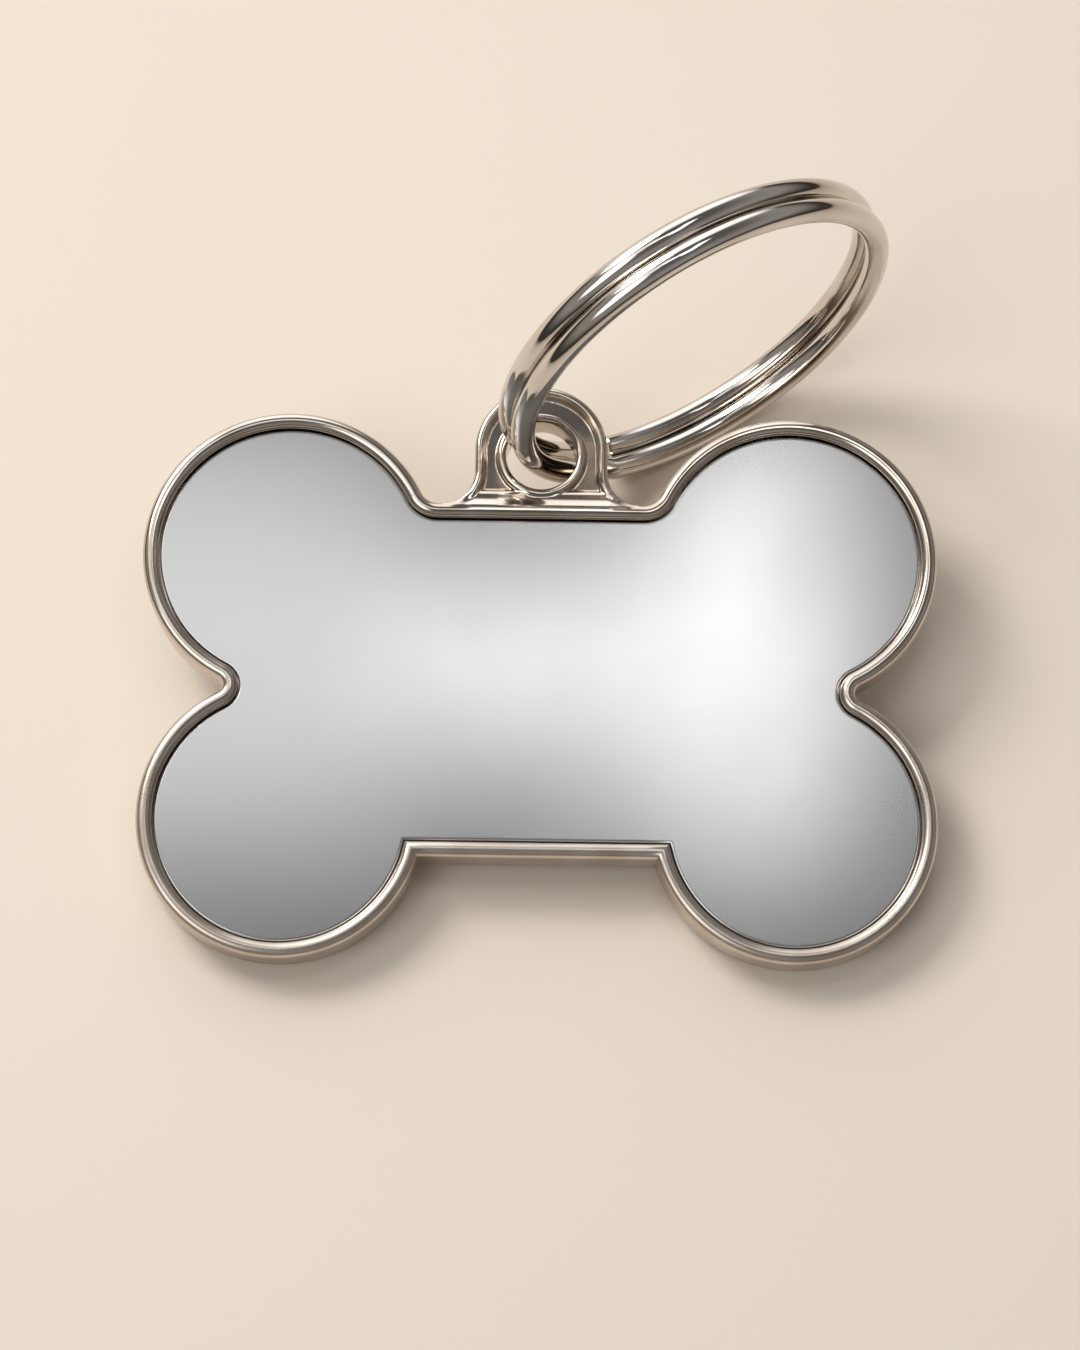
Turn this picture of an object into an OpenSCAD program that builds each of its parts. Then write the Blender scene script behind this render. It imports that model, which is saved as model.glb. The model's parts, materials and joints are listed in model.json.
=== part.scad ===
// Bone-shaped pet id tag on a split ring, lying as it is put down on a table:
// the two lower lobes and the ring's lowest point touch the table, and the
// eyelet end is held up by the ring, which stands on its edge.
//
// +Z is up and z = 0 is the table. +X runs along the tag's two straight bars.
// The origin is below the middle of the whole object.
// The tag itself is drawn flat, with its back at z = 0 and the origin at the
// middle of the bone, and as_it_lies() then tilts it into its place.

/* [Bone outline] */
// Distance of an upper lobe's centre from the tag's centre line
upper_lobe_x = 12; // [10.5:0.1:14]
// Height of the upper lobes' centres above the tag's middle
upper_lobe_y = 6.7; // [6:0.1:7.4]
// Outer radius of the upper lobes
upper_lobe_r = 7; // [6.7:0.05:7.4]
// Distance of a lower lobe's centre from the tag's centre line
lower_lobe_x = 12.1; // [10.5:0.1:14]
// Depth of the lower lobes' centres below the tag's middle
lower_lobe_y = 6.2; // [5.8:0.1:6.8]
// Outer radius of the lower lobes
lower_lobe_r = 6.75; // [6.5:0.05:7.2]
// Height of the straight top edge above the tag's middle
top_edge_y = 9.3; // [8.6:0.1:10]
// Depth of the straight bottom edge below the tag's middle
bottom_edge_y = 8.05; // [7.4:0.1:9]
// Radius of the fillet between the top edge and an upper lobe
top_fillet_r = 0.9; // [0.5:0.05:1.6]
// Radius of the round bottom of the notch between two lobes
notch_r = 0.4; // [0.2:0.05:0.8]

/* [Rim and tray] */
// Height of the tag from its back to the crest of the rim
tag_t = 2.2; // [1.9:0.1:3]
// Width of the raised rim
rim_w = 0.75; // [0.6:0.05:1.1]
// Radius on the back's outer edge
back_round = 0.25; // [0.1:0.05:0.3]
// Thickness of the tray's floor behind the face plate
floor_t = 1; // [0.6:0.1:1.1]

/* [Face plate] */
// Thickness of the face plate at its edge
plate_t = 0.65; // [0.4:0.05:0.7]
// Gap between the face plate and the rim
plate_gap = 0.06; // [0.03:0.01:0.15]
// Height of the face plate's crown over its edge
plate_crown = 0.15; // [0.05:0.05:0.25]
// Thickness of the adhesive film under the face plate
film_t = 0.1; // [0.05:0.01:0.2]
// Distance from the face plate's edge back to the film's edge
film_inset = 0.3; // [0.1:0.05:1]

/* [Eyelet] */
// Height of the hole's centre above the tag's middle
hole_y = 11.75; // [11.6:0.05:12.4]
// Diameter of the hole for the ring
hole_d = 3.4; // [3.3:0.05:3.8]
// Radius of the eyelet's round top
eyelet_r = 3.2; // [3.1:0.05:3.6]
// Thickness of the eyelet over its beads
eyelet_t = 2; // [1.7:0.1:2.1]
// Width of the bead along the eyelet's outside
outer_bead_w = 0.5; // [0.45:0.05:0.75]
// Width of the lip around the hole
lip_w = 0.45; // [0.4:0.05:0.6]
// Depth of the flat land below the crest of the beads
land_depth = 0.5; // [0.3:0.05:0.6]
// Radius of the flare from the eyelet's side into the top edge
flare_r = 1.6; // [1.2:0.1:1.65]
// Height of the shoulder over the top edge, where the land ends
shoulder_h = 0.75; // [0.5:0.05:0.8]

/* [Split ring] */
// Outside diameter of the split ring
ring_d = 20.5; // [17:0.5:24]
// Diameter of the ring's wire
wire_d = 1.15; // [1:0.05:1.2]
// Gap between the ring's two turns
turn_gap = 0.04; // [0.02:0.01:0.1]
// Length of the crossing where the wire changes from one turn to the other
crossing_l = 2.6; // [2.4:0.1:4.5]
// Distance along the wire from the eyelet to the middle of the crossing
crossing_at = 2.4; // [2:0.2:8]
// Smallest gap between the ring and the eyelet while the ring swings
swing_gap = 0.2; // [0.15:0.05:0.3]

/* [How it lies] */
// Direction of the ring's plane, counted from +X
ring_heading = 29.5; // [10:0.5:50]
// Rise of the ring's centre seen from the eyelet, over the table's plane
ring_rise = 41; // [28:1:42]

/* [Hidden] */
$fn = 96;

// How far an inward stretch is drawn in, and let into its neighbours' ends
seam = 0.005;
let_in = 0.04;

// How far a cut runs past what it cuts
over = 1;

// Middle line of the rim, and the straight bottom edge's half length along it
bead_r = rim_w / 2;
function bottom_half(grow) = lower_lobe_x - sqrt(pow(lower_lobe_r + grow, 2)
    - pow(bottom_edge_y + grow - lower_lobe_y, 2));

// Centre of each top fillet: it touches the top edge and the upper lobe
fillet_y = top_edge_y + top_fillet_r;
fillet_x = upper_lobe_x - sqrt(pow(upper_lobe_r + top_fillet_r, 2)
    - pow(fillet_y - upper_lobe_y, 2));

// Centre of each notch's round bottom: it touches both lobes from outside
lobe_dx = lower_lobe_x - upper_lobe_x;
lobe_dy = upper_lobe_y + lower_lobe_y;
lobe_gap = norm([lobe_dx, lobe_dy]);
reach_u = upper_lobe_r + notch_r;
reach_l = lower_lobe_r + notch_r;
notch_along = (pow(reach_u, 2) - pow(reach_l, 2) + pow(lobe_gap, 2)) / (2 * lobe_gap);
notch_off = sqrt(pow(reach_u, 2) - pow(notch_along, 2));
notch_x = upper_lobe_x + (notch_along * lobe_dx + notch_off * lobe_dy) / lobe_gap;
notch_y = upper_lobe_y + (-notch_along * lobe_dy + notch_off * lobe_dx) / lobe_gap;

// Directions from each centre to where its arc meets the next one
fillet_dir = atan2(upper_lobe_y - fillet_y, upper_lobe_x - fillet_x);
notch_u_dir = atan2(upper_lobe_y - notch_y, upper_lobe_x - notch_x);
notch_l_dir = atan2(-lower_lobe_y - notch_y, lower_lobe_x - notch_x);
corner_dir = atan2(lower_lobe_y - bottom_edge_y, bottom_half(0) - lower_lobe_x);

// Degrees that a lower lobe's rim runs on past the bottom corner, up to the mitre
corner_run = 12;

// Levels of the face plate and of the eyelet over the tag's back
plate_z = floor_t + film_t;
crown_reach = max(norm([upper_lobe_x, upper_lobe_y]) + upper_lobe_r,
    norm([lower_lobe_x, lower_lobe_y]) + lower_lobe_r);
crown_steps = 12;
eyelet_z = (tag_t - eyelet_t) / 2;
eyelet_mid = tag_t / 2;
land_t = eyelet_t - 2 * land_depth;

// The eyelet's outline: its arch is a little thicker over the hole than at the
// sides, and the shoulder ends a little below the crest of the beads
hole_r = hole_d / 2;
arch_up = 0.25;
arch_y = hole_y + arch_up;
shoulder_y = top_edge_y + shoulder_h;
shoulder_sink = 0.1;
shoulder_t = eyelet_t - shoulder_sink;
shoulder_round = 0.4;
flare_y = top_edge_y + flare_r - let_in / 2;
shoulder_half = eyelet_r + flare_r - sqrt(pow(flare_r + outer_bead_w / 2, 2)
    - pow(flare_y - shoulder_y, 2));

// The eyelet's bar on the side that the ring goes round, as a rounded section
wire_r = wire_d / 2;
turn_off = (wire_d + turn_gap) / 2;
bar_half = (eyelet_r - hole_r) / 2;
bar_mid = hole_r + bar_half;
bar_corner = norm([bar_half - lip_w / 2, (eyelet_t - lip_w) / 2]) + lip_w / 2;
ring_r = ring_d / 2 - wire_r;
swing_r = ring_r - (bar_corner + swing_gap + wire_r);

// Tilt of the tag: the ring stands on the table and holds the eyelet's bar at
// bar_height, while the round back edge of the lower lobes rests on the table
bar_height = ring_d / 2 - swing_r * sin(ring_rise);
edge_y = -(lower_lobe_y + lower_lobe_r - back_round);
arm_y = hole_y + bar_mid * sin(ring_heading) - edge_y;
arm_z = eyelet_mid - back_round;
tilt = asin((bar_height - back_round) / norm([arm_y, arm_z])) - atan2(arm_z, arm_y);
lift = back_round - edge_y * sin(tilt) - back_round * cos(tilt);

// The bar's middle where the ring goes round it, before and after the tilt
bar_dir = atan2(sin(ring_heading) / cos(tilt), cos(ring_heading));
bar_x = bar_mid * cos(bar_dir);
bar_y = hole_y + bar_mid * sin(bar_dir);
pivot_y = bar_y * cos(tilt) - eyelet_mid * sin(tilt);
pivot_z = bar_y * sin(tilt) + eyelet_mid * cos(tilt) + lift;
rise = asin((ring_d / 2 - pivot_z) / swing_r);
ring_x = bar_x + swing_r * cos(rise) * cos(ring_heading);
ring_y = pivot_y + swing_r * cos(rise) * sin(ring_heading);

// Middle of the whole object, from front to back
y_low = (edge_y - back_round + bead_r) * cos(tilt) - (tag_t - bead_r) * sin(tilt) - bead_r;
y_high = ring_y + ring_r * sin(ring_heading) + wire_r + turn_off * cos(ring_heading);
y_mid = (y_low + y_high) / 2;

// A slab with the bone's outline, h thick, with the edge moved outwards by grow
module bone(h, grow) {
    top = top_edge_y + grow;
    bottom = -bottom_edge_y - grow;
    upper = [upper_lobe_x, upper_lobe_y];
    lower = [lower_lobe_x, -lower_lobe_y];
    linear_extrude(h) polygon([[-fillet_x, top], [fillet_x, top], upper, [lower_lobe_x, bottom],
        [-lower_lobe_x, bottom], [-upper_lobe_x, upper_lobe_y]]);
    for (side = [0, 1]) mirror([side, 0, 0]) {
        translate(upper) cylinder(r = upper_lobe_r + grow, h = h);
        translate(lower) cylinder(r = lower_lobe_r + grow, h = h);
        fill(h, [[0, 0], [fillet_x, fillet_y], upper], 1, top_fillet_r - grow);
        fill(h, [[0, 0], upper, [notch_x, notch_y], lower], 2, notch_r - grow);
    }
}

// Fills a corner up to the round hollow of radius r about one of its points
module fill(h, corner, hollow_at, r) {
    difference() {
        linear_extrude(h) polygon(corner);
        translate([corner[hollow_at].x, corner[hollow_at].y, -over])
            cylinder(r = r + seam, h = h + 2 * over);
    }
}

// Section of the rim: its outer side at x = 0, its back at y = 0, drawn in by inset
module rim_section(inset) {
    r = bead_r - inset;
    translate([inset, 0]) {
        difference() {
            square([2 * r, tag_t - inset - r]);
            square(back_round);
        }
        translate([back_round, back_round]) circle(back_round);
        translate([r, tag_t - inset - r]) circle(r);
    }
}

// A stretch of rim round an outward curve, from one direction to another
module rim_outward(centre, r, from, to) {
    translate([centre.x, centre.y, 0]) rotate([0, 0, from]) rotate_extrude(angle = to - from)
        translate([r, 0]) mirror([1, 0]) rim_section(0);
}

// A stretch of rim round an inward curve, let into both of its neighbours
module rim_inward(centre, r, from, to) {
    lap = let_in / (r + bead_r) * 180 / PI;
    translate([centre.x, centre.y, 0]) rotate([0, 0, from - lap])
        rotate_extrude(angle = to - from + 2 * lap) translate([r, 0]) rim_section(seam);
}

// A straight stretch of rim from x = 0 to x = to, its outer side at y = 0
module rim_straight(to, inset) {
    rotate([90, 0, 90]) linear_extrude(to) rim_section(inset);
}

// The space on one side of the upright plane that mitres the bottom corner
module mitre_side(lobe_side) {
    reach = 4 * lower_lobe_r;
    dir = atan2(rim_w, bottom_half(-rim_w) - bottom_half(0));
    translate([bottom_half(0), -bottom_edge_y, 0]) rotate([0, 0, dir])
        translate([-reach / 2, lobe_side ? -reach : -let_in, -over])
            cube([reach, reach, tag_t + 2 * over]);
}

// Half of the rim, from the middle of the top edge round to that of the bottom edge
module half_rim() {
    translate([0, top_edge_y, 0]) mirror([0, 1, 0]) rim_straight(fillet_x, 0);
    rim_inward([fillet_x, fillet_y], top_fillet_r, -90, fillet_dir);
    rim_outward([upper_lobe_x, upper_lobe_y], upper_lobe_r, notch_u_dir - 180, fillet_dir + 180);
    rim_inward([notch_x, notch_y], notch_r, notch_u_dir, notch_l_dir + 360);
    intersection() {
        rim_outward([lower_lobe_x, -lower_lobe_y], lower_lobe_r, corner_dir - corner_run, notch_l_dir + 180);
        mitre_side(true);
    }
    intersection() {
        translate([0, -bottom_edge_y, 0]) rim_straight(bottom_half(0) + 2 * rim_w, seam);
        mitre_side(false);
    }
}

// Section of the eyelet's bead or lip: round on top and bottom, side at x = 0
module bead_section(w) {
    translate([0, w / 2]) square([w, eyelet_t - w]);
    for (y = [w / 2, eyelet_t - w / 2]) translate([w / 2, y]) circle(w / 2);
}

// Half of the bead along the eyelet's outside: arch, side and flare
module half_bead() {
    translate([0, arch_y, 0]) rotate_extrude(angle = 90)
        translate([eyelet_r - outer_bead_w, 0]) bead_section(outer_bead_w);
    translate([eyelet_r, flare_y, 0]) mirror([1, 0, 0]) rotate([90, 0, 0])
        mirror([0, 0, 1]) linear_extrude(arch_y - flare_y) bead_section(outer_bead_w);
    translate([eyelet_r + flare_r, flare_y, 0]) rotate([0, 0, 180])
        rotate_extrude(angle = 90) translate([flare_r, 0]) bead_section(outer_bead_w);
}

// The eyelet's land with its edge drawn in by inset, down into the rim
module land(inset) {
    low = top_edge_y - bead_r;
    half = eyelet_r - inset;
    translate([0, arch_y, 0]) cylinder(r = half, h = land_t);
    translate([-half, low, 0]) cube([2 * half, arch_y - low, land_t]);
    difference() {
        translate([-half - flare_r, low, 0]) cube([2 * (half + flare_r), flare_y - low, land_t]);
        for (side = [-1, 1]) translate([side * (eyelet_r + flare_r), flare_y, -over])
            cylinder(r = flare_r + inset, h = land_t + 2 * over);
    }
}

// The rounded shoulder between the flares, from the rim up to where the land ends
module shoulder() {
    r = shoulder_round;
    low = top_edge_y - bead_r;
    translate([-shoulder_half, low, land_depth])
        cube([2 * shoulder_half, shoulder_y - low, shoulder_t - land_depth - r]);
    translate([-shoulder_half, low, land_depth])
        cube([2 * shoulder_half, shoulder_y - low - r, shoulder_t - land_depth]);
    translate([-shoulder_half, shoulder_y - r, shoulder_t - r]) rotate([0, 90, 0])
        cylinder(r = r, h = 2 * shoulder_half);
}

// The eyelet: its land, shoulder and beads, with the hole and its lip cut in
module eyelet() {
    translate([0, 0, eyelet_z]) {
        difference() {
            union() {
                translate([0, 0, land_depth]) land(outer_bead_w / 2);
                shoulder();
                half_bead();
                mirror([1, 0, 0]) half_bead();
            }
            translate([0, hole_y, -over]) cylinder(r = hole_r + lip_w / 2, h = eyelet_t + 2 * over);
        }
        translate([0, hole_y, 0]) rotate_extrude() translate([hole_r, 0]) bead_section(lip_w);
    }
}

// The cast frame: the tray's floor, the raised rim and the eyelet in one piece
module frame() {
    color("silver") as_it_lies() {
        bone(floor_t, -bead_r);
        half_rim();
        mirror([1, 0, 0]) half_rim();
        eyelet();
    }
}

// The face plate's crown, as a stack of ever flatter cones over its middle
module crown() {
    top = [for (i = [crown_steps:-1:0]) let (share = i / crown_steps)
        [crown_reach * share, plate_t + plate_crown * (1 - pow(share, 2))]];
    rotate_extrude() polygon(concat([[0, 0], [crown_reach, 0]], top));
}

// The slightly crowned face plate, let into the tray inside the rim
module face_plate() {
    color("gainsboro") as_it_lies() translate([0, 0, plate_z]) intersection() {
        bone(plate_t + plate_crown, -rim_w - plate_gap);
        crown();
    }
}

// The adhesive film that holds the face plate down in the tray
module adhesive_film() {
    color("lightyellow") as_it_lies() translate([0, 0, floor_t])
        bone(film_t, -rim_w - plate_gap - film_inset);
}

// One stretch of the ring's wire, from one direction to another, at a height
module wire_arc(from, to, height) {
    translate([0, 0, height]) rotate([0, 0, from])
        rotate_extrude(angle = to - from) translate([ring_r, 0]) circle(wire_r);
}

// The split ring: one wire in two turns side by side, joined by a slanted crossing
module split_ring() {
    half_span = asin(crossing_l / 2 / ring_r);
    slope = asin(turn_off / (crossing_l / 2));
    lap = atan(wire_r * tan(slope / 2) / ring_r);
    middle = 180 + rise + crossing_at / ring_r * 180 / PI;
    color("lightgray") translate([ring_x, ring_y - y_mid, ring_d / 2])
        rotate([90, 0, ring_heading]) rotate([0, 0, middle]) {
            wire_arc(half_span - lap, 360 - half_span, turn_off);
            wire_arc(half_span, 360 - half_span + lap, -turn_off);
            rotate([slope, 0, 0])
                wire_arc(-half_span - lap, half_span + lap, 0);
        }
}

// Takes what is drawn flat into its place: tilted, with the ring under the eyelet
module as_it_lies() {
    translate([0, -y_mid, lift]) rotate([tilt, 0, 0]) children();
}

frame();
face_plate();
adhesive_film();
split_ring();
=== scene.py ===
import json
from math import asin, atan2, cos, degrees, hypot, pi, radians, sin, sqrt

import bmesh
import bpy
import numpy as np
from mathutils import Matrix, Vector
from mathutils.geometry import delaunay_2d_cdt


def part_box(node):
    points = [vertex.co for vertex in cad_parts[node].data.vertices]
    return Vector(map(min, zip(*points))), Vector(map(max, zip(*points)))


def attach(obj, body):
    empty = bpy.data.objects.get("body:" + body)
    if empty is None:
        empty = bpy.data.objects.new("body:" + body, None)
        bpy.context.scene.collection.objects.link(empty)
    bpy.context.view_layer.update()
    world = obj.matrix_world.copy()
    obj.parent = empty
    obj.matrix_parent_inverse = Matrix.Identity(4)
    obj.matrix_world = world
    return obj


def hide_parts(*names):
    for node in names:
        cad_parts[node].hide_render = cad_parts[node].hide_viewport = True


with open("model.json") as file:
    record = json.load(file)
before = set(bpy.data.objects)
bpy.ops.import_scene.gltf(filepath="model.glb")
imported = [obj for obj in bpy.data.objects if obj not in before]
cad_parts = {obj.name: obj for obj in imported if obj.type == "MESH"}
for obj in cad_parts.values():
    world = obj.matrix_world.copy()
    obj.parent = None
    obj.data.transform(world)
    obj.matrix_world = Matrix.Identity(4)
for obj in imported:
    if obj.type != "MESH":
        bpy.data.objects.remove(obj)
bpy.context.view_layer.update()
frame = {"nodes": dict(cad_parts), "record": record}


# ---------------------------------------------------------------------------
# The cast frame. One zinc casting, nickel plated and polished: a shallow tray
# in the shape of a bone, a half-round rim standing up round it, and an eyelet
# on its top bar whose beads run softly into the rim, as a casting's do.
# ---------------------------------------------------------------------------

MM = 0.001
mounts = {mount["name"]: mount for mount in frame["record"]["mounts"]}

# Sizes in mm, drawn flat with the tag's back at z = 0
UPPER_LOBE = (12.0, 6.7, 7.0)  # x, y and outer radius
LOWER_LOBE = (12.1, -6.2, 6.75)
TOP_EDGE = 9.3
BOTTOM_EDGE = -8.05
TOP_FILLET = 0.9
NOTCH_R = 0.4

TAG_T = 2.2
RIM_W = 0.75
BACK_ROUND = 0.25
FLOOR_T = 1.0

HOLE_Y = 11.75
HOLE_R = 1.7
ARCH_Y = 12.0
EYELET_R = 3.2
EYELET_T = 2.0
BEAD_W = 0.5
LIP_W = 0.45
LAND_T = 1.0
FLARE_R = 1.6
SHOULDER_TOP = 10.05
SHOULDER_T = 1.9
SHOULDER_ROUND = 0.4

SHOULDER_HALF = 1.5  # half of the shoulder's width, most of it hidden in the rim
SHOULDER_INSET = 0.1  # from the eyelet's outline

# How softly the casting's forms run into each other, mm
SOFT_LAND = 0.1
SOFT_RIM = 0.4
# The eyelet's blend into the rim starts this far inside the top edge and grows over this much,
# and it fades out over this length before the flares' tips
BLEND_FROM = 0.55
BLEND_OVER = 0.4
BLEND_TIP = 1.5

# Degrees from sample to sample on a lobe and in a hollow, and samples on the rim's section
LOBE_STEP = 1.5
HOLLOW_STEP = 4
CREST_SAMPLES = 25
ROUND_SAMPLES = 8
WALL_START = 0.03  # a short row where a flat wall starts, which keeps its shading flat, mm

# The eyelet is a skin drawn over a field of distances, in a box with some air round the metal
SKIN_STEP = 0.07  # size of its facets, mm
SKIN_LOW = (-7.0, TOP_EDGE - RIM_W - 0.1, -0.1)
SKIN_HIGH = (7.0, ARCH_Y + EYELET_R + 0.15, TAG_T + 0.1)
SKIN_LOWER = 0.002  # its rim's top and back lie this far inside the sweep's, so they don't flicker
SKIN_CORNER = 0.05  # radius of its rim's hidden corner in the tray
SKIN_SINK = 0.2  # past the fillets it sinks into the sweep by this share of the way, and
SKIN_SINK_MOST = 0.01  # no deeper than this
SKIN_OVERLAP = 0.05  # how far it runs on inside the sweep
SKIN_ROUNDS = 5  # corrections that bring each point onto the field's surface

CAST_CREASE = 35  # degrees: a sharper fold than this is shaded as an edge


def as_it_lies(points):
    """Points drawn flat, in mm with the tag's back at z = 0, in their place in metres."""
    back = mounts["back_face"]
    tilt = asin(back["axis"][1])
    x, y, z = np.asarray(points, float).T * MM
    return np.column_stack([
        x + back["pos_m"][0],
        y * cos(tilt) - z * sin(tilt) + back["pos_m"][1],
        y * sin(tilt) + z * cos(tilt) + back["pos_m"][2],
    ])


def tilted(directions):
    """Directions drawn flat, turned as the tag lies."""
    tilt = asin(mounts["back_face"]["axis"][1])
    x, y, z = np.asarray(directions, float).T
    return np.column_stack([x, y * cos(tilt) - z * sin(tilt), y * sin(tilt) + z * cos(tilt)])


def arc(centre, radius, start, end, step, side):
    """Samples of an arc: x, y and the way into the tag. side is -1 on a lobe, 1 in a hollow."""
    count = max(2, int(abs(end - start) / step))
    angles = np.radians(np.linspace(start, end, count + 1))
    way = np.column_stack([np.cos(angles), np.sin(angles)])
    return np.hstack([np.array(centre) + radius * way, side * way])


def turn_to(start, end):
    """Direction from one point to another, in degrees from +X."""
    return degrees(atan2(end[1] - start[1], end[0] - start[0]))


# Where the outline's arcs have their centres and meet
fillet_y = TOP_EDGE + TOP_FILLET
fillet_reach = UPPER_LOBE[2] + TOP_FILLET
fillet_x = UPPER_LOBE[0] - sqrt(fillet_reach**2 - (fillet_y - UPPER_LOBE[1]) ** 2)
FILLET = (fillet_x, fillet_y)
lobe_step = np.subtract(LOWER_LOBE[:2], UPPER_LOBE[:2])
lobe_gap = hypot(*lobe_step)
reach_up = UPPER_LOBE[2] + NOTCH_R
reach_low = LOWER_LOBE[2] + NOTCH_R
along = (reach_up**2 - reach_low**2 + lobe_gap**2) / (2 * lobe_gap)
off = sqrt(reach_up**2 - along**2)
down = lobe_step / lobe_gap
NOTCH = (
    UPPER_LOBE[0] + along * down[0] - off * down[1],
    UPPER_LOBE[1] + along * down[1] + off * down[0],
)


def bar_end(inset):
    """How far the bottom bar reaches from the middle, this far inside the outline."""
    return LOWER_LOBE[0] - sqrt(
        (LOWER_LOBE[2] - inset) ** 2 - (BOTTOM_EDGE + inset - LOWER_LOBE[1]) ** 2
    )


def bone_outline():
    """The whole outline, clockwise from the top's middle, and the number of its samples up to
    the first upper lobe, where the eyelet's skin ends."""
    fillet_turn = turn_to(FILLET, UPPER_LOBE)
    up_turn = turn_to(NOTCH, UPPER_LOBE)
    low_turn = turn_to(NOTCH, LOWER_LOBE)
    corner = (bar_end(0), BOTTOM_EDGE)
    mitre = ((bar_end(RIM_W) - bar_end(0)) / RIM_W, 1)
    corner_turn = turn_to(LOWER_LOBE, corner)
    top = np.array([[x, TOP_EDGE, 0, -1] for x in np.linspace(0, fillet_x, 9)[:-1]])
    fillet = arc(FILLET, TOP_FILLET, -90, fillet_turn, HOLLOW_STEP, 1)[:-1]
    upper = arc(UPPER_LOBE[:2], UPPER_LOBE[2], fillet_turn + 180, up_turn - 180, LOBE_STEP, -1)
    notch = arc(NOTCH, NOTCH_R, up_turn, low_turn + 360, HOLLOW_STEP, 1)[1:-1]
    lower = arc(LOWER_LOBE[:2], LOWER_LOBE[2], low_turn + 180, corner_turn, LOBE_STEP, -1)[:-1]
    bottom = np.array([[x, BOTTOM_EDGE, 0, 1] for x in np.linspace(corner[0], 0, 13)[1:]])
    half = np.vstack([top, fillet, upper, notch, lower, [[*corner, *mitre]], bottom])
    other = (half * [-1, 1, -1, 1])[::-1][1:-1]
    return np.vstack([half, other]), len(top) + len(fillet)


def loop_at(outline, inset, height):
    """The outline this far inside itself, at one height or one height for each sample."""
    flat = outline[:, :2] + inset * outline[:, 2:]
    return np.column_stack([flat, np.broadcast_to(height, len(flat))])


def rim_profile():
    """Section of the rim, from the tray's floor over the crest to the edge of the back."""
    half = RIM_W / 2
    crest = [
        (half + half * cos(turn), TAG_T - half + half * sin(turn))
        for turn in np.linspace(0, pi, CREST_SAMPLES)
    ]
    edge = [
        (BACK_ROUND * (1 - cos(turn)), BACK_ROUND * (1 - sin(turn)))
        for turn in np.linspace(0, pi / 2, ROUND_SAMPLES)
    ]
    inner = [(RIM_W, FLOOR_T), (RIM_W, TAG_T - half - WALL_START)]
    outer = [(0, TAG_T - half - WALL_START), (0, BACK_ROUND + WALL_START)]
    return inner + crest + outer + edge


def soft_union(first, second, softness):
    """Joins two fields, with a fillet about as wide as the softness."""
    share = np.maximum(softness - np.abs(first - second), 0) / softness
    return np.minimum(first, second) - share * share * softness / 4


def round_box(u, z, half_u, half_z, radius):
    """Distance to a rounded rectangle about the origin."""
    du = np.abs(u) - half_u + radius
    dz = np.abs(z) - half_z + radius
    outside = np.hypot(np.maximum(du, 0), np.maximum(dz, 0))
    return np.minimum(np.maximum(du, dz), 0) + outside - radius


def eyelet_field(points):
    """Distance to the eyelet and the rim below it: below 0 in the metal."""
    x, y, z = np.abs(points[:, 0]), points[:, 1], points[:, 2]
    level = z - TAG_T / 2

    # the rim, along the top bar and round the fillets, ending on the upper lobes
    to_fillet = np.hypot(x - fillet_x, y - fillet_y)
    to_lobe = UPPER_LOBE[2] - np.hypot(x - UPPER_LOBE[0], y - UPPER_LOBE[1])
    ray = np.subtract(UPPER_LOBE[:2], FILLET)
    ray /= hypot(*ray)
    past_lobe = -(x - UPPER_LOBE[0]) * ray[1] + (y - UPPER_LOBE[1]) * ray[0]
    curved = np.where(past_lobe > 0, to_lobe, to_fillet - TOP_FILLET)
    inside = np.where(x < fillet_x, TOP_EDGE - y, curved)
    back_corner = np.where(inside < RIM_W / 2, BACK_ROUND, SKIN_CORNER)
    corner = np.where(level > 0, RIM_W / 2, back_corner)
    half_height = TAG_T / 2 - SKIN_LOWER
    rim = round_box(inside - RIM_W / 2, level, RIM_W / 2, half_height, corner)
    # past the fillet it sinks away inside the sweep and ends there
    rim += np.clip(SKIN_SINK * past_lobe, 0, SKIN_SINK_MOST)
    rim = np.maximum(rim, past_lobe - SKIN_OVERLAP)

    # the eyelet's outline: arch, straight sides and flares into the top bar
    flare_y = TOP_EDGE + FLARE_R
    flare = FLARE_R - np.hypot(x - EYELET_R - FLARE_R, y - flare_y)
    side = np.where(y > ARCH_Y, np.hypot(x, y - ARCH_Y) - EYELET_R, x - EYELET_R)
    flare_end = EYELET_R + FLARE_R
    beyond = np.hypot(x - flare_end, y - TOP_EDGE)
    side = np.where(y < flare_y, np.where(x < flare_end, flare, beyond), side)

    bead = round_box(side + BEAD_W / 2, level, BEAD_W / 2, EYELET_T / 2, BEAD_W / 2)
    land = np.maximum(side + BEAD_W / 2, np.abs(level) - LAND_T / 2)
    from_hole = np.hypot(x, y - HOLE_Y)
    lip = round_box(from_hole - HOLE_R - LIP_W / 2, level, LIP_W / 2, EYELET_T / 2, LIP_W / 2)
    below_top = y - (SHOULDER_TOP - SHOULDER_HALF)
    shoulder = round_box(below_top, level, SHOULDER_HALF, SHOULDER_T / 2, SHOULDER_ROUND)
    shoulder = np.maximum(shoulder, side + SHOULDER_INSET)

    metal = soft_union(bead, land, SOFT_LAND)
    metal = soft_union(metal, shoulder, SOFT_LAND)
    metal = np.maximum(metal, HOLE_R + LIP_W / 2 - from_hole)
    metal = soft_union(metal, lip, SOFT_LAND)
    metal = np.maximum(metal, TOP_EDGE - RIM_W / 2 - y)
    # the rim's own inner side and the flares' tips stay as sharp as the rest of the rim
    softness = SOFT_RIM * np.clip((y - TOP_EDGE + BLEND_FROM) / BLEND_OVER, 0.05, 1)
    softness *= np.clip((flare_end - x) / BLEND_TIP, 0.02, 1)
    return soft_union(metal, rim, softness)


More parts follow.
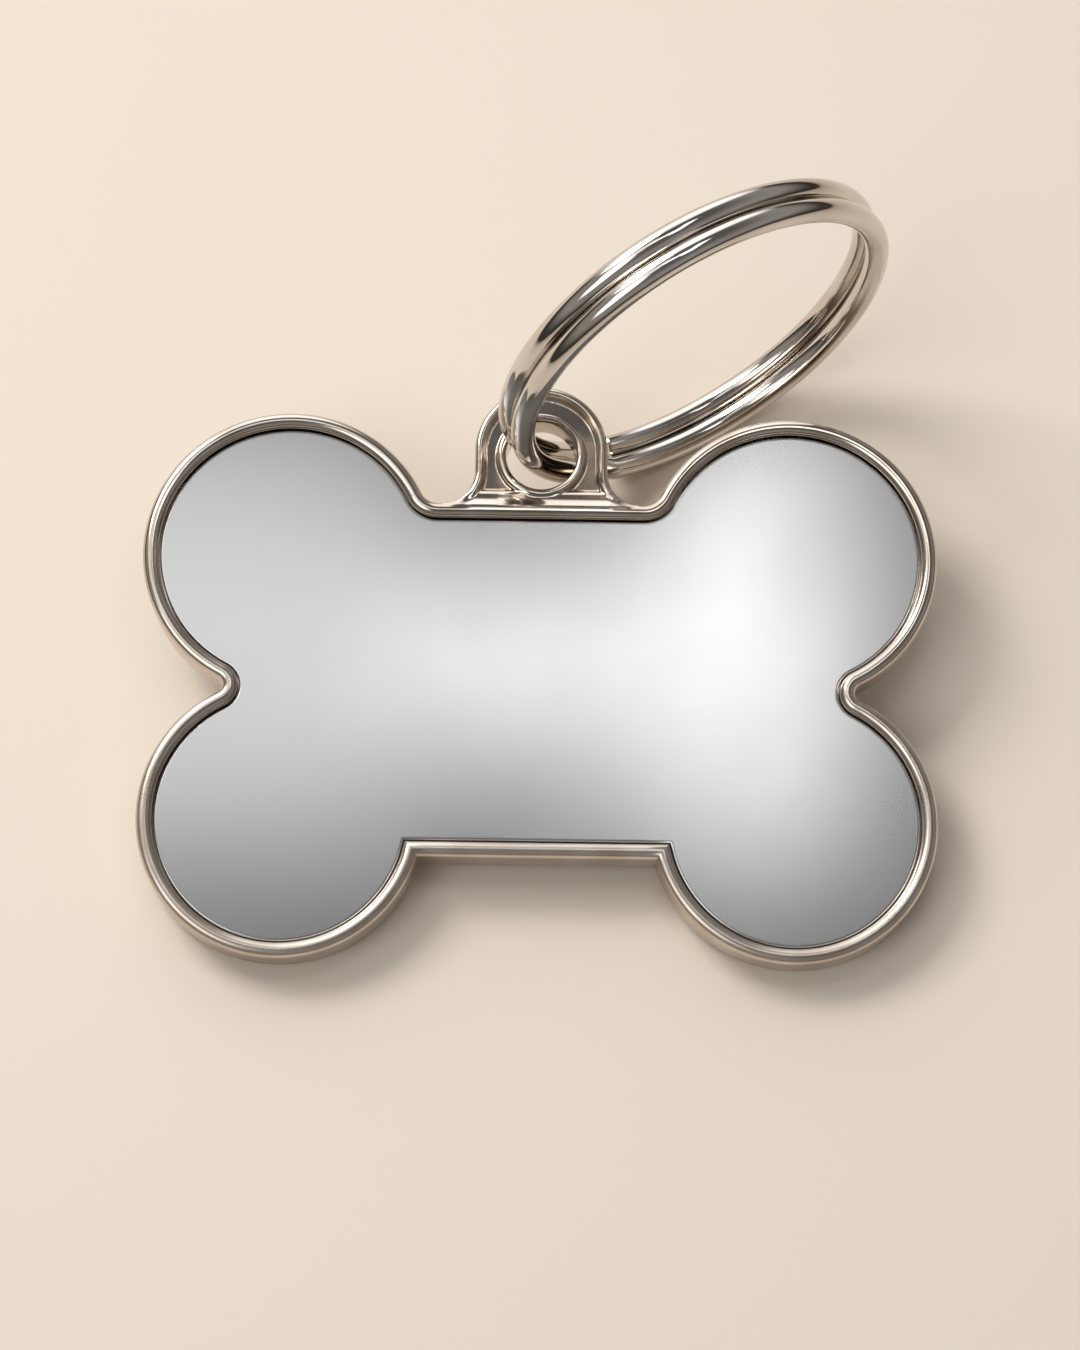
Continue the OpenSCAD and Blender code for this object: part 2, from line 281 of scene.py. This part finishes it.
def slope(field, points, reach=0.004):
    """How steeply the field rises at each point along X, Y and Z."""
    parts = []
    for axis in range(3):
        shift = np.zeros(3)
        shift[axis] = reach
        parts.append((field(points + shift) - field(points - shift)) / (2 * reach))
    return np.column_stack(parts)


def skin(field, low, high, step):
    """A closed mesh of quads over a field's surface, with its true normals."""
    axes = [np.arange(a, b + step, step) for a, b in zip(low, high)]
    grid = np.stack(np.meshgrid(*axes, indexing="ij"), axis=-1)
    shape = grid.shape[:3]
    value = field(grid.reshape(-1, 3)).reshape(shape)
    metal = value < 0
    cells = tuple(n - 1 for n in shape)
    total = np.zeros(cells + (3,))
    hits = np.zeros(cells)
    for axis in range(3):
        one = np.eye(3, dtype=int)[axis]
        ends = tuple(slice(0, n - d) for n, d in zip(shape, one))
        nexts = tuple(slice(d, n) for n, d in zip(shape, one))
        crossed = metal[ends] != metal[nexts]
        gap = np.where(crossed, value[ends] - value[nexts], 1)
        place = grid[ends] + (value[ends] / gap)[..., None] * one * step
        place = np.where(crossed[..., None], place, 0)
        b, c = [k for k in range(3) if k != axis]
        for shift_b in (0, 1):
            for shift_c in (0, 1):
                part = [slice(0, n) for n in cells]
                part[b] = slice(shift_b, shift_b + cells[b])
                part[c] = slice(shift_c, shift_c + cells[c])
                total += place[tuple(part)]
                hits += crossed[tuple(part)]
    active = hits > 0
    number = np.full(cells, -1)
    number[active] = np.arange(active.sum())
    points = total[active] / hits[active][:, None]
    for _ in range(SKIN_ROUNDS):
        way_out = slope(field, points)
        size = np.maximum((way_out**2).sum(axis=1), 0.05)
        points -= np.clip(field(points) / size, -step, step)[:, None] * way_out
    normals = slope(field, points)
    normals /= np.linalg.norm(normals, axis=1)[:, None]
    quads = []
    for axis in range(3):
        b, c = (axis + 1) % 3, (axis + 2) % 3
        ends = tuple(slice(0, n - (k == axis)) for k, n in enumerate(shape))
        nexts = tuple(slice(k == axis, n) for k, n in enumerate(shape))
        for rising in (True, False):
            leaves = metal[ends] & ~metal[nexts]
            enters = ~metal[ends] & metal[nexts]
            edge = np.argwhere(leaves if rising else enters)
            round_it = []
            for shift_b, shift_c in ((1, 1), (0, 1), (0, 0), (1, 0)):
                cell = edge.copy()
                cell[:, b] -= shift_b
                cell[:, c] -= shift_c
                round_it.append(number[tuple(cell.T)])
            quads.append(np.column_stack(round_it if rising else round_it[::-1]))
    return points, normals, np.vstack(quads)


def new_object(name, mesh):
    """An object of this mesh, linked to the scene at its origin."""
    piece = bpy.data.objects.new(name, mesh)
    bpy.context.scene.collection.objects.link(piece)
    return piece


def face_outwards(mesh):
    """Turns every face of the closed mesh to face out of the metal."""
    mesh.validate()
    turned = bmesh.new()
    turned.from_mesh(mesh)
    bmesh.ops.recalc_face_normals(turned, faces=turned.faces)
    turned.to_mesh(mesh)
    turned.free()


def frame_mesh():
    """The rim's sweep with the tray's floor and back, and the eyelet's skin."""
    outline, cut = bone_outline()
    whole = len(outline)
    run = outline[cut : whole - cut + 1]
    profile = rim_profile()
    count = len(run)
    deep = len(profile)
    loops = np.stack([loop_at(run, inset, height) for inset, height in profile], axis=1)
    points = loops.reshape(-1, 3)
    faces = [
        (i * deep + j, i * deep + j + 1, (i + 1) * deep + j + 1, (i + 1) * deep + j)
        for i in range(count - 1)
        for j in range(deep - 1)
    ]
    last = (count - 1) * deep
    faces.append(tuple(range(deep)))
    faces.append(tuple(last + j for j in range(deep)))

    # below the eyelet's skin, the tray's slab ends under the middle of the rim
    under = np.vstack([outline[whole - cut + 1 :], outline[:cut]])
    slab_end = [loop_at(under, RIM_W / 2, height) for height in (FLOOR_T, 0)]
    more = np.arange(len(under)) + len(points)
    points = np.vstack([points, *slab_end])
    floor_line = [i * deep for i in range(count)] + more.tolist()
    back_line = [i * deep + deep - 1 for i in range(count)] + (more + len(under)).tolist()
    faces.append(tuple(floor_line))
    faces.append(tuple(back_line))
    walls = list(zip(floor_line, back_line))[count - 1 :] + [(0, deep - 1)]
    for (floor_a, back_a), (floor_b, back_b) in zip(walls, walls[1:]):
        faces.append((floor_a, floor_b, back_b, back_a))

    # half a step aside, so that no row of grid points lies on the eyelet's middle
    low = (SKIN_LOW[0] - SKIN_STEP / 2, *SKIN_LOW[1:])
    eye_points, eye_normals, eye_quads = skin(eyelet_field, low, SKIN_HIGH, SKIN_STEP)
    faces += [tuple(quad) for quad in (eye_quads + len(points)).tolist()]

    mesh = bpy.data.meshes.new("cast_frame")
    mesh.from_pydata(as_it_lies(np.vstack([points, eye_points])).tolist(), [], faces)
    face_outwards(mesh)
    mesh.shade_smooth()
    mesh.set_sharp_from_angle(angle=radians(CAST_CREASE))
    # the skin is shaded by its field's true slope, and the sweep by its own faces
    corners = np.zeros((len(mesh.loops), 3))
    turned = tilted(eye_normals)
    used = np.array([loop.vertex_index for loop in mesh.loops])
    on_eyelet = used >= len(points)
    corners[on_eyelet] = turned[used[on_eyelet] - len(points)]
    mesh.normals_split_custom_set(corners.tolist())
    return mesh


def linear(code):
    """A colour written as sRGB hex, as the linear values that a shader takes."""
    parts = [int(code[i : i + 2], 16) / 255 for i in (1, 3, 5)]
    return (*[p / 12.92 if p <= 0.04045 else ((p + 0.055) / 1.055) ** 2.4 for p in parts], 1)


def add(tree, kind, links=None, **settings):
    """A node with its settings; links gives its inputs a value or another node's socket."""
    node = tree.nodes.new(kind)
    for key, value in settings.items():
        setattr(node, key, value)
    for key, value in (links or {}).items():
        if isinstance(value, bpy.types.NodeSocket):
            tree.links.new(value, node.inputs[key])
        else:
            node.inputs[key].default_value = value
    return node


def new_material(name):
    """A material with an empty node tree, and the tree."""
    material = bpy.data.materials.new(name)
    material.use_nodes = True
    material.node_tree.nodes.clear()
    return material, material.node_tree


POLISH_MARK = 0.12  # width of the finest marks of polishing, mm
POLISH_DEPTH = 0.0002  # and their depth, mm


def polished_nickel(name, wave_mm, wave_height_mm, tint, gloss):
    """Bright nickel plate over a hand-polished base: a near mirror that still shows the slow
    waves of the polishing wheel, hairline marks, and a faint warm cast where it is thicker.
    gloss gives two places along Y in mm, and the roughness at each."""
    material, tree = new_material(name)
    place = add(tree, "ShaderNodeTexCoord").outputs["Object"]
    waves = add(tree, "ShaderNodeTexNoise", {
        "Vector": place, "Scale": 1 / (wave_mm * MM), "Detail": 0.5, "Roughness": 0.4})
    grit = add(tree, "ShaderNodeTexNoise", {
        "Vector": place, "Scale": 1 / (POLISH_MARK * MM), "Detail": 3, "Roughness": 0.6})
    cast = add(tree, "ShaderNodeValToRGB", {"Fac": waves.outputs["Fac"]})
    cast.color_ramp.elements[0].position = 0.35
    cast.color_ramp.elements[0].color = linear(tint[0])
    cast.color_ramp.elements[1].position = 0.7
    cast.color_ramp.elements[1].color = linear(tint[1])
    along = add(tree, "ShaderNodeSeparateXYZ", {"Vector": place}).outputs["Y"]
    (from_y, from_rough), (to_y, to_rough) = gloss
    buffed = add(tree, "ShaderNodeMapRange", {
        "Value": along, "From Min": from_y * MM, "From Max": to_y * MM,
        "To Min": from_rough, "To Max": to_rough})
    marks = add(tree, "ShaderNodeMapRange", {
        "Value": grit.outputs["Fac"], "From Min": 0.3, "From Max": 0.75,
        "To Min": 0.94, "To Max": 1.06})
    dull = add(tree, "ShaderNodeMath", {0: buffed.outputs["Result"], 1: marks.outputs["Result"]},
               operation="MULTIPLY")
    slow = add(tree, "ShaderNodeBump", {
        "Height": waves.outputs["Fac"], "Strength": 1.0, "Distance": wave_height_mm * MM})
    fine = add(tree, "ShaderNodeBump", {
        "Height": grit.outputs["Fac"], "Strength": 1.0, "Distance": POLISH_DEPTH * MM,
        "Normal": slow.outputs["Normal"]})
    shader = add(tree, "ShaderNodeBsdfPrincipled", {
        "Base Color": cast.outputs["Color"], "Metallic": 1.0,
        "Roughness": dull.outputs["Value"], "Normal": fine.outputs["Normal"]})
    add(tree, "ShaderNodeOutputMaterial", {"Surface": shader.outputs["BSDF"]})
    return material


# Places along Y, mm, and the roughness there: the casting is buffed brighter
# towards its eyelet, and the ring is equally bright all over
FRAME_GLOSS = ((-12, 0.3), (5, 0.13))
RING_GLOSS = ((-20, 0.09), (20, 0.09))

frame_piece = new_object("cast_frame", frame_mesh())
frame_piece.data.materials.append(
    polished_nickel("polished_nickel_plate", 1.6, 0.012, ("#C6B9AC", "#D3CAC0"), FRAME_GLOSS))
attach(frame_piece, "tag")
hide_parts("frame")


# ---------------------------------------------------------------------------
# The adhesive film under the face plate. A clear yellowish acrylic film, die
# cut a little smaller than the plate; only its edge could ever be seen.
# ---------------------------------------------------------------------------

FILM_BUBBLE = 0.5  # mm between the film's small bubbles


def acrylic_film():
    """Acrylic adhesive: soft, waxy and slightly cloudy, with small trapped bubbles."""
    material, tree = new_material("acrylic_film")
    place = add(tree, "ShaderNodeTexCoord").outputs["Object"]
    bubbles = add(tree, "ShaderNodeTexVoronoi", {"Vector": place, "Scale": 1 / (FILM_BUBBLE * MM)})
    cloud = add(tree, "ShaderNodeValToRGB", {"Fac": bubbles.outputs["Distance"]})
    cloud.color_ramp.elements[0].color = linear("#D9D2B0")
    cloud.color_ramp.elements[1].color = linear("#CBC29A")
    dent = add(tree, "ShaderNodeBump", {
        "Height": bubbles.outputs["Distance"], "Strength": 0.4, "Distance": 0.01 * MM})
    shader = add(tree, "ShaderNodeBsdfPrincipled", {
        "Base Color": cloud.outputs["Color"], "Roughness": 0.45, "IOR": 1.47,
        "Normal": dent.outputs["Normal"]})
    add(tree, "ShaderNodeOutputMaterial", {"Surface": shader.outputs["BSDF"]})
    return material


film = frame["nodes"]["adhesive_film"]
film.data.materials.clear()
film.data.materials.append(acrylic_film())


# ---------------------------------------------------------------------------
# The face plate. A blank for engraving, punched from steel sheet, nickel
# plated and blasted to a satin face. Punching leaves it slightly crowned, with
# its edge rolled over, and a thin dark gap shows between it and the rim.
# ---------------------------------------------------------------------------

PLATE_Z = 1.1  # its underside, on the film, mm
PLATE_T = 0.65
PLATE_GAP = 0.06  # between it and the rim
PLATE_CROWN = 0.15  # how much higher its middle is than its farthest edge
PLATE_EDGE = 0.12  # radius of the rolled edge
PLATE_BORDER = (0.04, 0.12, 0.24, 0.4)  # rows of the face that follow its edge

# The face's net of triangles, mm: its spacing, its reach and its distance from the last row
NET_STEP = 0.5
NET_ROW = 0.87  # height of an even-sided triangle, for each mm of its side
NET_REACH_X = (-19, 19)
NET_REACH_Y = (-13, 14)
NET_CLEAR = 0.3

PLATE_CREASE = 50  # degrees: a sharper fold than this is shaded as an edge
BLAST_GRAIN = 0.06  # width of the blasting's grain, mm
BLAST_DEPTH = 0.00005  # depth of the grain, mm
BLAST_PATCH = 7  # width of the slow changes in the blasting, mm


def plate_top(x, y):
    """Height of the crowned face, drawn flat."""
    reach = max(hypot(*lobe[:2]) + lobe[2] for lobe in (UPPER_LOBE, LOWER_LOBE))
    return PLATE_Z + PLATE_T + PLATE_CROWN * (1 - (x * x + y * y) / reach**2)


def plate_mesh():
    """Side, rolled edge and crowned face; the face is a fine net of triangles."""
    outline, _ = bone_outline()
    start = RIM_W + PLATE_GAP
    rolled = [
        (PLATE_EDGE * (1 - cos(turn)), PLATE_EDGE * (1 - sin(turn)))
        for turn in np.linspace(0, pi / 2, ROUND_SAMPLES)
    ]
    rolled += [(PLATE_EDGE + inset, 0) for inset in PLATE_BORDER]
    rows = [loop_at(outline, start, PLATE_Z)]
    for inset, drop in rolled:
        row = loop_at(outline, start + inset, 0)
        row[:, 2] = plate_top(row[:, 0], row[:, 1]) - drop
        rows.append(row)
    count = len(outline)
    points = np.vstack(rows)
    faces = [
        (k * count + i, k * count + (i + 1) % count,
         (k + 1) * count + (i + 1) % count, (k + 1) * count + i)
        for k in range(len(rows) - 1)
        for i in range(count)
    ]
    faces.append(tuple(range(count))[::-1])

    # the face: the last row, and a net of points well inside it
    border = rows[-1][:, :2]
    net = np.array([
        (x + (NET_STEP / 2 if row % 2 else 0), y)
        for row, y in enumerate(np.arange(*NET_REACH_Y, NET_STEP * NET_ROW))
        for x in np.arange(*NET_REACH_X, NET_STEP)
    ])
    far = np.min(np.hypot(*(net[:, None] - border[None, ::2]).transpose(2, 0, 1)), axis=1)
    ahead = np.roll(border, -1, axis=0)
    rises = (border[None, :, 1] > net[:, None, 1]) != (ahead[None, :, 1] > net[:, None, 1])
    climb = np.where(ahead[:, 1] == border[:, 1], 1, ahead[:, 1] - border[:, 1])
    cross_x = border[:, 0] + (net[:, None, 1] - border[:, 1]) / climb * (ahead - border)[:, 0]
    within = (rises & (net[:, None, 0] < cross_x)).sum(axis=1) % 2 == 1
    net = net[within & (far > NET_CLEAR)]
    flat = np.vstack([border, net])
    border_edges = [(i, (i + 1) % count) for i in range(count)]
    places, _, triangles, origins, _, _ = delaunay_2d_cdt(
        [Vector(p) for p in flat], border_edges, [], 1, 1e-7)
    base = (len(rows) - 1) * count
    numbers = []
    extra = []
    for place, origin in zip(places, origins):
        first = min(origin) if origin else None
        if first is not None and first < count:
            numbers.append(base + first)
        else:
            numbers.append(len(points) + len(extra))
            extra.append((place.x, place.y, plate_top(place.x, place.y)))
    for triangle in triangles:
        a, b, c = (places[i] for i in triangle)
        upward = (b - a).cross(c - a) > 0
        corners = [numbers[i] for i in triangle]
        faces.append(tuple(corners if upward else corners[::-1]))
    mesh = bpy.data.meshes.new("face_plate_satin")
    mesh.from_pydata(as_it_lies(np.vstack([points, extra])).tolist(), [], faces)
    face_outwards(mesh)
    mesh.shade_smooth()
    mesh.set_sharp_from_angle(angle=radians(PLATE_CREASE))
    return mesh


def satin_nickel():
    """Blasted nickel: it spreads a lamp's image into a soft glow. The blasting's fine grain
    and slow changes in its depth keep that glow from looking painted."""
    material, tree = new_material("satin_nickel")
    place = add(tree, "ShaderNodeTexCoord").outputs["Object"]
    grain = add(tree, "ShaderNodeTexNoise", {
        "Vector": place, "Scale": 1 / (BLAST_GRAIN * MM), "Detail": 2, "Roughness": 0.6})
    depth = add(tree, "ShaderNodeTexNoise", {
        "Vector": place, "Scale": 1 / (BLAST_PATCH * MM), "Detail": 2, "Roughness": 0.5})
    dull = add(tree, "ShaderNodeMapRange", {
        "Value": depth.outputs["Fac"], "From Min": 0.3, "From Max": 0.7,
        "To Min": 0.225, "To Max": 0.25})
    tone = add(tree, "ShaderNodeValToRGB", {"Fac": grain.outputs["Fac"]})
    tone.color_ramp.elements[0].color = linear("#CDCDCD")
    tone.color_ramp.elements[1].color = linear("#D1D1D1")
    relief = add(tree, "ShaderNodeBump", {
        "Height": grain.outputs["Fac"], "Strength": 1.0, "Distance": BLAST_DEPTH * MM})
    shader = add(tree, "ShaderNodeBsdfPrincipled", {
        "Base Color": tone.outputs["Color"], "Metallic": 1.0,
        "Roughness": dull.outputs["Result"], "Normal": relief.outputs["Normal"]})
    add(tree, "ShaderNodeOutputMaterial", {"Surface": shader.outputs["BSDF"]})
    return material


plate_piece = new_object("satin_face_plate", plate_mesh())
plate_piece.data.materials.append(satin_nickel())
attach(plate_piece, "tag")
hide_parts("face_plate")


# ---------------------------------------------------------------------------
# The split ring. One length of spring steel wire, wound into two close turns
# and nickel plated. It crosses from one turn to the other next to its two cut
# ends, which lie behind the eyelet.
# ---------------------------------------------------------------------------

# Sizes in mm, lengths along the wire
WIRE_D = 1.15
TURN_GAP = 0.04
CROSSING_L = 2.6
CROSSING_AT = 2.4  # from the eyelet's bar
END_CHAMFER = 0.12
END_SLIM = 0.8  # the wire's thickness at a chamfered end, as a share of the whole
WIRE_STEPS = 1000
WIRE_SIDES = 48
WIRE_CREASE = 30  # degrees: a sharper fold than this is shaded as an edge


def ring_tree():
    """A wire of two turns: its points are set by their number along the wire."""
    tree = bpy.data.node_groups.new("wound_wire", "GeometryNodeTree")
    face = tree.interface
    for name in ("Ring radius", "Wire radius", "Turn offset", "Crossing angle", "End chamfer"):
        face.new_socket(name, in_out="INPUT", socket_type="NodeSocketFloat")
    face.new_socket("Points", in_out="INPUT", socket_type="NodeSocketInt")
    face.new_socket("Wire finish", in_out="INPUT", socket_type="NodeSocketMaterial")
    face.new_socket("Mesh", in_out="OUTPUT", socket_type="NodeSocketGeometry")
    given = add(tree, "NodeGroupInput").outputs

    def maths(operation, *values):
        node = add(tree, "ShaderNodeMath", operation=operation)
        for socket, value in zip(node.inputs, values):
            if isinstance(value, bpy.types.NodeSocket):
                tree.links.new(value, socket)
            else:
                socket.default_value = value
        return node.outputs[0]

    line = add(tree, "GeometryNodeMeshLine", {"Count": given["Points"]})
    wire = add(tree, "GeometryNodeMeshToCurve", {"Mesh": line.outputs["Mesh"]})
    share = maths("DIVIDE", add(tree, "GeometryNodeInputIndex").outputs[0],
                  maths("SUBTRACT", given["Points"], 1))
    half = maths("MULTIPLY", given["Crossing angle"], 0.5)
    span = maths("SUBTRACT", 4 * pi, given["Crossing angle"])
    turn = maths("ADD", maths("MULTIPLY", share, span), half)
    side = add(tree, "ShaderNodeMapRange", {
        "Value": turn,
        "From Min": maths("SUBTRACT", 2 * pi, half),
        "From Max": maths("ADD", 2 * pi, half),
        "To Min": maths("MULTIPLY", given["Turn offset"], -1),
        "To Max": given["Turn offset"]}, interpolation_type="SMOOTHSTEP")
    spot = add(tree, "ShaderNodeCombineXYZ", {
        "X": maths("MULTIPLY", given["Ring radius"], maths("COSINE", turn)),
        "Y": maths("MULTIPLY", given["Ring radius"], maths("SINE", turn)),
        "Z": side.outputs["Result"]})
    wound = add(tree, "GeometryNodeSetPosition", {
        "Geometry": wire.outputs["Curve"], "Position": spot.outputs["Vector"]})
    nearer_end = maths("MINIMUM", share, maths("SUBTRACT", 1, share))
    from_end = maths("MULTIPLY", maths("MULTIPLY", nearer_end, span), given["Ring radius"])
    slim = add(tree, "ShaderNodeMapRange", {
        "Value": from_end, "From Min": 0.0, "From Max": given["End chamfer"],
        "To Min": END_SLIM, "To Max": 1.0})
    section = add(tree, "GeometryNodeCurvePrimitiveCircle", {
        "Resolution": WIRE_SIDES, "Radius": given["Wire radius"]})
    tube = add(tree, "GeometryNodeCurveToMesh", {
        "Curve": wound.outputs["Geometry"], "Profile Curve": section.outputs["Curve"],
        "Scale": slim.outputs["Result"], "Fill Caps": True})
    smooth = add(tree, "GeometryNodeSetShadeSmooth", {"Geometry": tube.outputs["Mesh"]})
    whole = add(tree, "GeometryNodeRealizeInstances", {"Geometry": smooth.outputs["Geometry"]})
    finish = add(tree, "GeometryNodeSetMaterial", {
        "Geometry": whole.outputs["Geometry"], "Material": given["Wire finish"]})
    add(tree, "NodeGroupOutput", {"Mesh": finish.outputs["Geometry"]})
    return tree


ring_low, ring_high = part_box("split_ring")
ring_d = (ring_high[2] - ring_low[2]) / MM
ring_r = (ring_d - WIRE_D) / 2
loop = mounts["ring_loop"]
joints = {joint["name"]: joint for joint in frame["record"]["behaviour"]["joints"]}
swing = joints["ring_swing"]
wire_finish = polished_nickel("polished_wire", 2.2, 0.014, ("#CFC7BE", "#DBD6D0"), RING_GLOSS)

spool = bpy.data.meshes.new("split_ring_start")
maker = new_object("split_ring_maker", spool)
modifier = maker.modifiers.new("wound_wire", "NODES")
modifier.node_group = ring_tree()
sizes = {
    "Ring radius": ring_r * MM,
    "Wire radius": WIRE_D / 2 * MM,
    "Turn offset": (WIRE_D + TURN_GAP) / 2 * MM,
    "Crossing angle": 2 * asin(CROSSING_L / 2 / ring_r),
    "End chamfer": END_CHAMFER * MM,
    "Points": WIRE_STEPS,
    "Wire finish": wire_finish,
}
for item in modifier.node_group.interface.items_tree:
    if item.in_out == "INPUT":
        modifier[item.identifier] = sizes[item.name]
bpy.context.view_layer.update()
made = maker.evaluated_get(bpy.context.evaluated_depsgraph_get())
ring_mesh = bpy.data.meshes.new_from_object(made)
bpy.data.objects.remove(maker)

# upright on the table, with its crossing just past the eyelet's bar
heading = atan2(loop["axis"][0], -loop["axis"][1])
to_bar = Vector(swing["pos_m"]) - Vector(loop["pos_m"])
bar_turn = atan2(to_bar.z, to_bar.x * cos(heading) + to_bar.y * sin(heading))
ring_mesh.transform(
    Matrix.Translation(loop["pos_m"])
    @ Matrix.Rotation(heading, 4, "Z")
    @ Matrix.Rotation(pi / 2, 4, "X")
    @ Matrix.Rotation(bar_turn + CROSSING_AT / ring_r, 4, "Z"))
ring_mesh.set_sharp_from_angle(angle=radians(WIRE_CREASE))
ring_piece = new_object("sprung_wire_ring", ring_mesh)
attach(ring_piece, "ring")
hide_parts("split_ring")


# ---------------------------------------------------------------------------
# The studio: a pale plain table, and the camera, which looks down at the tag
# from its lower side, a little rolled. One soft lamp stands at the back left,
# three plain panels hang above, and a dim room has two broad soft windows.
# ---------------------------------------------------------------------------

TABLE_SIZE = 4.0  # m

CAMERA_AIM = (0.058, 0.74 + mounts["back_face"]["pos_m"][1] / MM, 3.5)  # mm
CAMERA_D = 172.1  # from the aim, mm
CAMERA_RISE = 66.24  # degrees above the table
CAMERA_TURN = 0.99  # degrees to the left of straight in front
CAMERA_ROLL = 1.69  # degrees
FOCAL_PX = 3615.7  # focal length in pixels of an image of this width
IMAGE_W = 1080
SENSOR = 36.0

PANEL_HEIGHT = 100  # mm above the table
# Each panel's middle in x and y, its width and depth in mm, and its glow: the satin face
# spreads their images into its bright areas
PANELS = {
    "middle_panel": (2.2, 6.6, 28.9, 10.5, 2.4),
    "left_panel": (-46.5, 8.5, 70.2, 33.0, 1.02),
    "right_panel": (18.2, 8.3, 13.4, 34.0, 2.42),
}

# The room's glow by how high one looks, from 0 at the table's level to 1 overhead
ROOM = (
    (0.0, (0.03, 0.025, 0.022)),
    (0.15, (0.07, 0.063, 0.057)),
    (0.4, (0.34, 0.32, 0.3)),
    (0.65, (0.28, 0.27, 0.26)),
    (0.9, (0.12, 0.12, 0.12)),
)

# Each window's direction, the cosines of the angles at which it starts and is full, and its
# glow: one is at the back a little to the left, the other high over the front left
WINDOWS = (
    ((-0.3, 0.85, 0.42), 0.79, 0.93, 1.4),
    ((-0.5, -0.38, 0.78), 0.94, 0.975, 2.1),
)

table_mesh = bpy.data.meshes.new("table")
reach = TABLE_SIZE / 2
table_corners = [(-reach, -reach, 0), (reach, -reach, 0), (reach, reach, 0), (-reach, reach, 0)]
table_mesh.from_pydata(table_corners, [], [(0, 1, 2, 3)])
table = new_object("table", table_mesh)
table_finish, tree = new_material("table_finish")
shader = add(tree, "ShaderNodeBsdfPrincipled", {
    "Base Color": linear("#F4E8DA"), "Roughness": 0.85, "Specular IOR Level": 0.2})
add(tree, "ShaderNodeOutputMaterial", {"Surface": shader.outputs["BSDF"]})
table.data.materials.append(table_finish)

camera_data = bpy.data.cameras.new("camera")
camera_data.sensor_fit = "HORIZONTAL"
camera_data.sensor_width = SENSOR
camera_data.lens = FOCAL_PX / IMAGE_W * SENSOR
camera_data.clip_start = 0.005
camera = bpy.data.objects.new("camera", camera_data)
bpy.context.scene.collection.objects.link(camera)
rise = radians(CAMERA_RISE)
turn = radians(CAMERA_TURN)
roll = radians(CAMERA_ROLL)
back_to_camera = Vector((-cos(rise) * sin(turn), -cos(rise) * cos(turn), sin(rise)))
right = back_to_camera.cross(Vector((0, 0, 1))).normalized() * -1
up = back_to_camera.cross(right)
camera_x = cos(roll) * right + sin(roll) * up
camera_y = -sin(roll) * right + cos(roll) * up
spot = Vector(CAMERA_AIM) * MM + back_to_camera * CAMERA_D * MM
camera.matrix_world = Matrix.Translation(spot) @ Matrix(
    (camera_x, camera_y, back_to_camera)).transposed().to_4x4()
bpy.context.scene.camera = camera


def soft_lamp(name, place_mm, aim_mm, width_mm, height_mm, watts, colour):
    """A rectangular lamp that faces the point it is aimed at."""
    data = bpy.data.lights.new(name, "AREA")
    data.shape = "RECTANGLE"
    data.size = width_mm * MM
    data.size_y = height_mm * MM
    data.energy = watts
    data.color = linear(colour)[:3]
    lamp = bpy.data.objects.new(name, data)
    lamp.location = Vector(place_mm) * MM
    aim = (Vector(aim_mm) - Vector(place_mm)).normalized()
    lamp.rotation_euler = aim.to_track_quat("-Z", "Y").to_euler()
    bpy.context.scene.collection.objects.link(lamp)


soft_lamp("key_lamp", (-220, 180, 280), (0, 0, 0), 160, 160, 0.77, "#FFFBF5")
for name, (x, y, width, depth, glow) in PANELS.items():
    watts = glow * pi * width * depth * MM * MM
    soft_lamp(name, (x, y, PANEL_HEIGHT), (x, y, 0), width, depth, watts, "#FFFFFF")

world = bpy.data.worlds.new("studio")
bpy.context.scene.world = world
world.use_nodes = True
tree = world.node_tree
tree.nodes.clear()
look = add(tree, "ShaderNodeTexCoord").outputs["Generated"]
height = add(tree, "ShaderNodeSeparateXYZ", {"Vector": look}).outputs["Z"]
room = add(tree, "ShaderNodeValToRGB", {"Fac": height})
stops = room.color_ramp.elements
for stop, (place, glow) in zip(stops, (ROOM[0], ROOM[-1])):
    stop.position = place
    stop.color = (*glow, 1)
for place, glow in ROOM[1:-1]:
    stops.new(place).color = (*glow, 1)
sky = add(tree, "ShaderNodeBackground", {
    "Color": room.outputs["Color"], "Strength": 1.0}).outputs["Background"]
for direction, start, full, glow in WINDOWS:
    towards = add(tree, "ShaderNodeVectorMath", {0: look, 1: Vector(direction).normalized()},
                  operation="DOT_PRODUCT")
    light = add(tree, "ShaderNodeMapRange", {
        "Value": towards.outputs["Value"], "From Min": start, "From Max": full,
        "To Min": 0.0, "To Max": glow}, interpolation_type="SMOOTHSTEP")
    window = add(tree, "ShaderNodeBackground", {
        "Color": linear("#FFFFFF"), "Strength": light.outputs["Result"]})
    both = add(tree, "ShaderNodeAddShader", {0: sky, 1: window.outputs["Background"]})
    sky = both.outputs["Shader"]
add(tree, "ShaderNodeOutputWorld", {"Surface": sky})

bpy.context.scene.view_settings.view_transform = "Standard"
